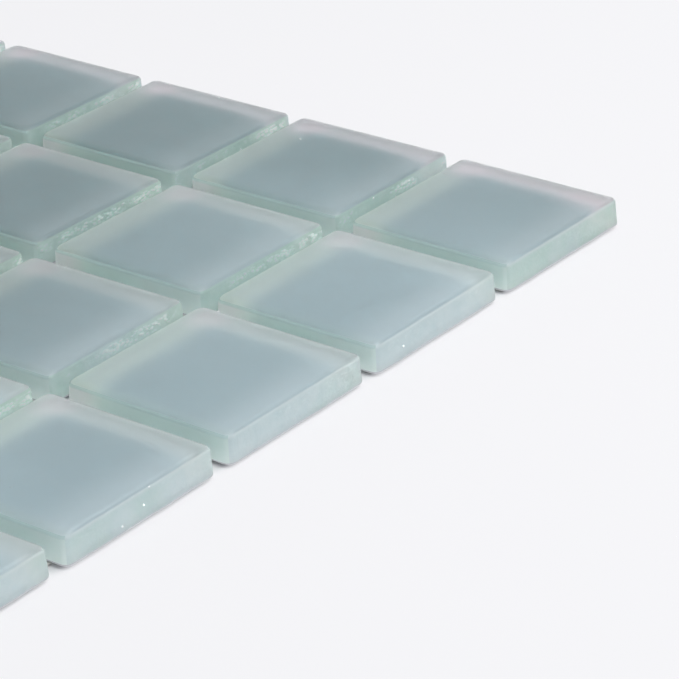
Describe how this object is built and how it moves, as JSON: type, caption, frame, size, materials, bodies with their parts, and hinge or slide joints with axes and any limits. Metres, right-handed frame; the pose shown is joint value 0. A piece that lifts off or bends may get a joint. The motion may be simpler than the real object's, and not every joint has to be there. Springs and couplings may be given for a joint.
{
  "type": "mosaic tile sheet",
  "caption": "Square frosted-glass mosaic tiles in an even grid with open joints, bonded face up to a net of glass yarn, as one sheet to be set in adhesive and grouted.",
  "frame": {"origin": "middle of the underside, on the plane that the net lies on", "axes": "+X along the rows of tiles, +Y across the rows, +Z out of the tiles' face"},
  "size_m": [0.298, 0.298, 0.0041],
  "materials": {
    "frosted_glass": "satin, frosted face and edges over a blue-grey back coat",
    "glass_yarn": "resin-coated glass yarn, off-white"
  },
  "bodies": {
    "root": {"tile_row_01": "frosted_glass", "tile_row_02": "frosted_glass", "tile_row_03": "frosted_glass", "tile_row_04": "frosted_glass", "tile_row_05": "frosted_glass", "tile_row_06": "frosted_glass", "tile_row_07": "frosted_glass", "tile_row_08": "frosted_glass", "tile_row_09": "frosted_glass", "tile_row_10": "frosted_glass", "tile_row_11": "frosted_glass", "tile_row_12": "frosted_glass", "net_warp_yarns": "glass_yarn", "net_weft_yarns": "glass_yarn"}
  },
  "joints": []
}
